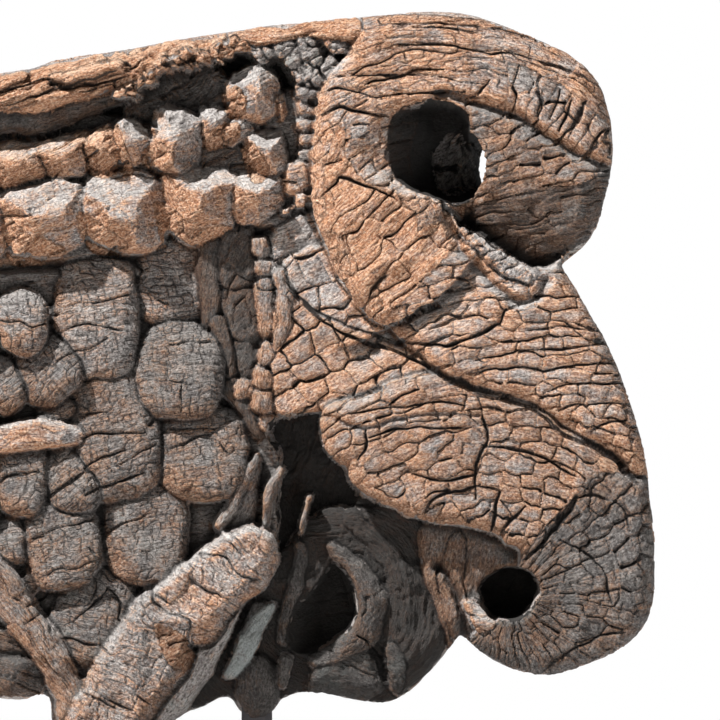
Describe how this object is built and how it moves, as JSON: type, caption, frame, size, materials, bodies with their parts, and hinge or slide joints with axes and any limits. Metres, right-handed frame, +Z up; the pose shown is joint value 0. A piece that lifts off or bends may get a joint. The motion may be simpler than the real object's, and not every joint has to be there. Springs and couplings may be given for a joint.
{
  "type": "carved wooden corbel",
  "caption": "Weathered hardwood corbel carved as an animal head in profile with a pierced volute, long tongue, beaded bands and scales, on a square steel post and foot.",
  "frame": {"origin": "on the floor, under the middle of the object's bounding box", "axes": "+Z up, the carved face towards -Y, the nose towards +X and the sawn wall end towards -X"},
  "size_m": [0.575, 0.26, 0.7151],
  "materials": {
    "weathered_wood": "bare, deeply weathered and checked",
    "dark_steel": "matt, near black"
  },
  "bodies": {
    "root": {"carved_corbel": "weathered_wood", "stand_post": "dark_steel", "stand_foot": "dark_steel"}
  },
  "joints": []
}
